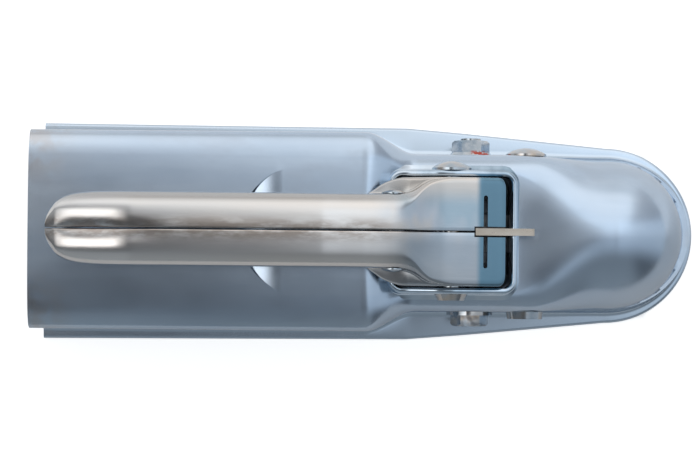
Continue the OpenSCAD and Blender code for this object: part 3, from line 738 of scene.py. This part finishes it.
SOFT = soft_shading(SMOOTH_ANGLE)
for mat, names in LOOK:
    for name in names:
        o = nodes[name]
        o.data.materials.clear()
        o.data.materials.append(mat)
        if name in SOFT_EDGES:
            b = o.modifiers.new("soft edges", "BEVEL")
            b.width = EDGE_WIDTH
            b.segments = 3
            b.limit_method = "ANGLE"
            b.angle_limit = math.radians(EDGE_ANGLE)
            b.harden_normals = False
        o.modifiers.new("smooth", "NODES").node_group = SOFT


# ---------------------------------------------------------------- floor
FLOOR_GREY, FLOOR_Z = 0.62, -0.0131                       # just under the rim
CAMERA_GLOW, GLASS_GLOW = 0.76, 0.74
METAL_GLOW, LIT_GLOW = 0.04, 0.38                         # on either side, and the painted light that the lit side adds to it


def floor_material():
    """Pale grey, with a glow that only camera, glass and mirror rays see, so the background is white."""
    m, t, b, out = shader("floor")
    b.inputs["Base Color"].default_value = (FLOOR_GREY, FLOOR_GREY, FLOOR_GREY, 1)
    b.inputs["Roughness"].default_value = 0.9
    rays = t.nodes.new("ShaderNodeLightPath").outputs
    glow = t.nodes.new("ShaderNodeEmission")
    glow.inputs["Color"].default_value = (1, 1, 1, 1)
    x, y, _ = axes(t)
    # painted light: metal sees the floor glow more on the lit +Y side
    lit = calc(t, "ADD", METAL_GLOW, times(t, spread(t, y, -0.02, 0.06), LIT_GLOW))
    seen = times(t, rays["Is Camera Ray"], CAMERA_GLOW)
    seen = calc(t, "MAXIMUM", seen, times(t, rays["Is Transmission Ray"], GLASS_GLOW))
    seen = calc(t, "MAXIMUM", seen, times(t, rays["Is Glossy Ray"], lit))
    # no glow where the housing stands over it, so its openings stay dark
    beyond = spread(t, size_of(t, calc(t, "SUBTRACT", x, 0.005)), 0.105, 0.114)
    clear = calc(t, "MAXIMUM", beyond, spread(t, size_of(t, y), 0.026, 0.035))
    t.links.new(times(t, seen, clear), glow.inputs["Strength"])
    add = t.nodes.new("ShaderNodeAddShader")
    t.links.new(b.outputs["BSDF"], add.inputs[0])
    t.links.new(glow.outputs["Emission"], add.inputs[1])
    t.links.new(add.outputs["Shader"], out.inputs["Surface"])
    return m


def stage_floor(half=3.0):
    me = bpy.data.meshes.new("floor")
    corner = [(-half, -half, 0), (half, -half, 0), (half, half, 0), (-half, half, 0)]
    me.from_pydata(corner, [], [[0, 1, 2, 3]])
    me.materials.append(floor_material())
    o = bpy.data.objects.new("floor", me)
    scene.collection.objects.link(o)
    o.location = (-0.1, 0, FLOOR_Z)


stage_floor()


# ---------------------------------------------------------------- world, lamp and camera
def studio():
    """A studio bright on the +Y side and dark slate on the other, with a soft box over the middle."""
    w = bpy.data.worlds.new("studio")
    w.use_nodes = True
    t = w.node_tree
    t.nodes.clear()
    sky_out = t.nodes.new("ShaderNodeOutputWorld")
    back = t.nodes.new("ShaderNodeBackground")
    t.links.new(back.outputs[0], sky_out.inputs["Surface"])
    x, y, _ = axes(t, "Generated")
    across = curve(t, y, [
        (-1, (0.27, 0.305, 0.33)), (-0.4, (0.20, 0.225, 0.25)), (-0.12, (0.155, 0.165, 0.18)),
        (-0.045, (0.21, 0.22, 0.24)), (0.0, (0.47, 0.48, 0.49)), (0.08, (0.66, 0.68, 0.70)),
        (0.25, (0.72, 0.76, 0.80)), (0.45, (1.0, 1.02, 1.04)), (0.7, (1.10, 1.10, 1.10)),
        (1, (0.82, 0.82, 0.82)),
    ])
    along = curve(t, x, [
        (-1, (0.5, 0.5, 0.5)), (-0.3, (0.22, 0.22, 0.22)), (-0.15, (0.27, 0.27, 0.28)),
        (-0.08, (0.68, 0.68, 0.69)), (-0.03, (0.98, 0.98, 0.98)), (0.05, (1.05, 1.05, 1.05)),
        (0.3, (0.92, 0.93, 0.95)), (0.6, (0.50, 0.50, 0.51)), (1, (0.32, 0.32, 0.33)),
    ])
    # far to either side the level no longer changes along X, but for the nose's end
    beside = times(t, spread(t, size_of(t, y), 0.3, 0.6), spread(t, x, 0.7, 0.35))
    along = blend(t, beside, along, (0.93, 0.93, 0.93))
    sky = blend(t, 1.0, across, along, "MULTIPLY")
    # fill from both ends, at the nose less of it towards the sides
    dark_side = calc(t, "ADD", 0.05, times(t, spread(t, y, -0.60, -0.15), 0.95))
    lit_side = calc(t, "ADD", 0.2, times(t, spread(t, y, 0.42, 0.2), 0.8))
    nose_fill = times(t, spread(t, x, 0.05, 0.14), 4.4, dark_side, lit_side)
    fill = calc(t, "MAXIMUM", nose_fill, times(t, spread(t, x, -0.08, -0.2), 0.5))
    sky = blend(t, 1.0, sky, blend(t, 1.0, (0.10, 0.115, 0.13), grey(t, fill), "MULTIPLY"), "ADD")
    # a soft window low at the rear, seen in the grip's end and in the stop tongue
    window = times(t, spread(t, x, -0.25, -0.37), spread(t, x, -0.95, -0.5))
    window = times(t, window, spread(t, y, -0.30, -0.10), spread(t, y, 0.36, 0.14))
    t.links.new(blend(t, window, sky, (1.9, 1.9, 1.9)), back.inputs["Color"])
    back.inputs["Strength"].default_value = 1.0
    return w


scene.world = studio()

KEY_AT, KEY_AIM = Vector((-0.1, 1.6, 1.9)), Vector((-0.1, 0, 0.02))
lamp = bpy.data.lights.new("key", "AREA")
lamp.shape = "RECTANGLE"
lamp.size, lamp.size_y = 3.0, 2.4
lamp.energy = 4.0
lamp.color = (0.97, 0.985, 1.0)
key = bpy.data.objects.new("key", lamp)
scene.collection.objects.link(key)
key.location = KEY_AT
key.rotation_euler = (KEY_AIM - KEY_AT).to_track_quat("-Z", "Y").to_euler()

FOCAL_PX, WIDTH_PX, SENSOR = 2063, 700, 36     # the photo's focal length and width in pixels, sensor in mm
SHIFT, CAMERA_AT, CAMERA_TURN = 0.0563, (-0.1028, -0.016, 0.825), 0.0095     # straight down, turned a little
cam = bpy.data.cameras.new("camera")
cam.sensor_width = SENSOR
cam.lens = FOCAL_PX * SENSOR / WIDTH_PX
cam.shift_y = SHIFT
camera = bpy.data.objects.new("camera", cam)
scene.collection.objects.link(camera)
camera.location = CAMERA_AT
camera.rotation_euler = (0, 0, CAMERA_TURN)
scene.camera = camera
scene.view_settings.view_transform = "Standard"
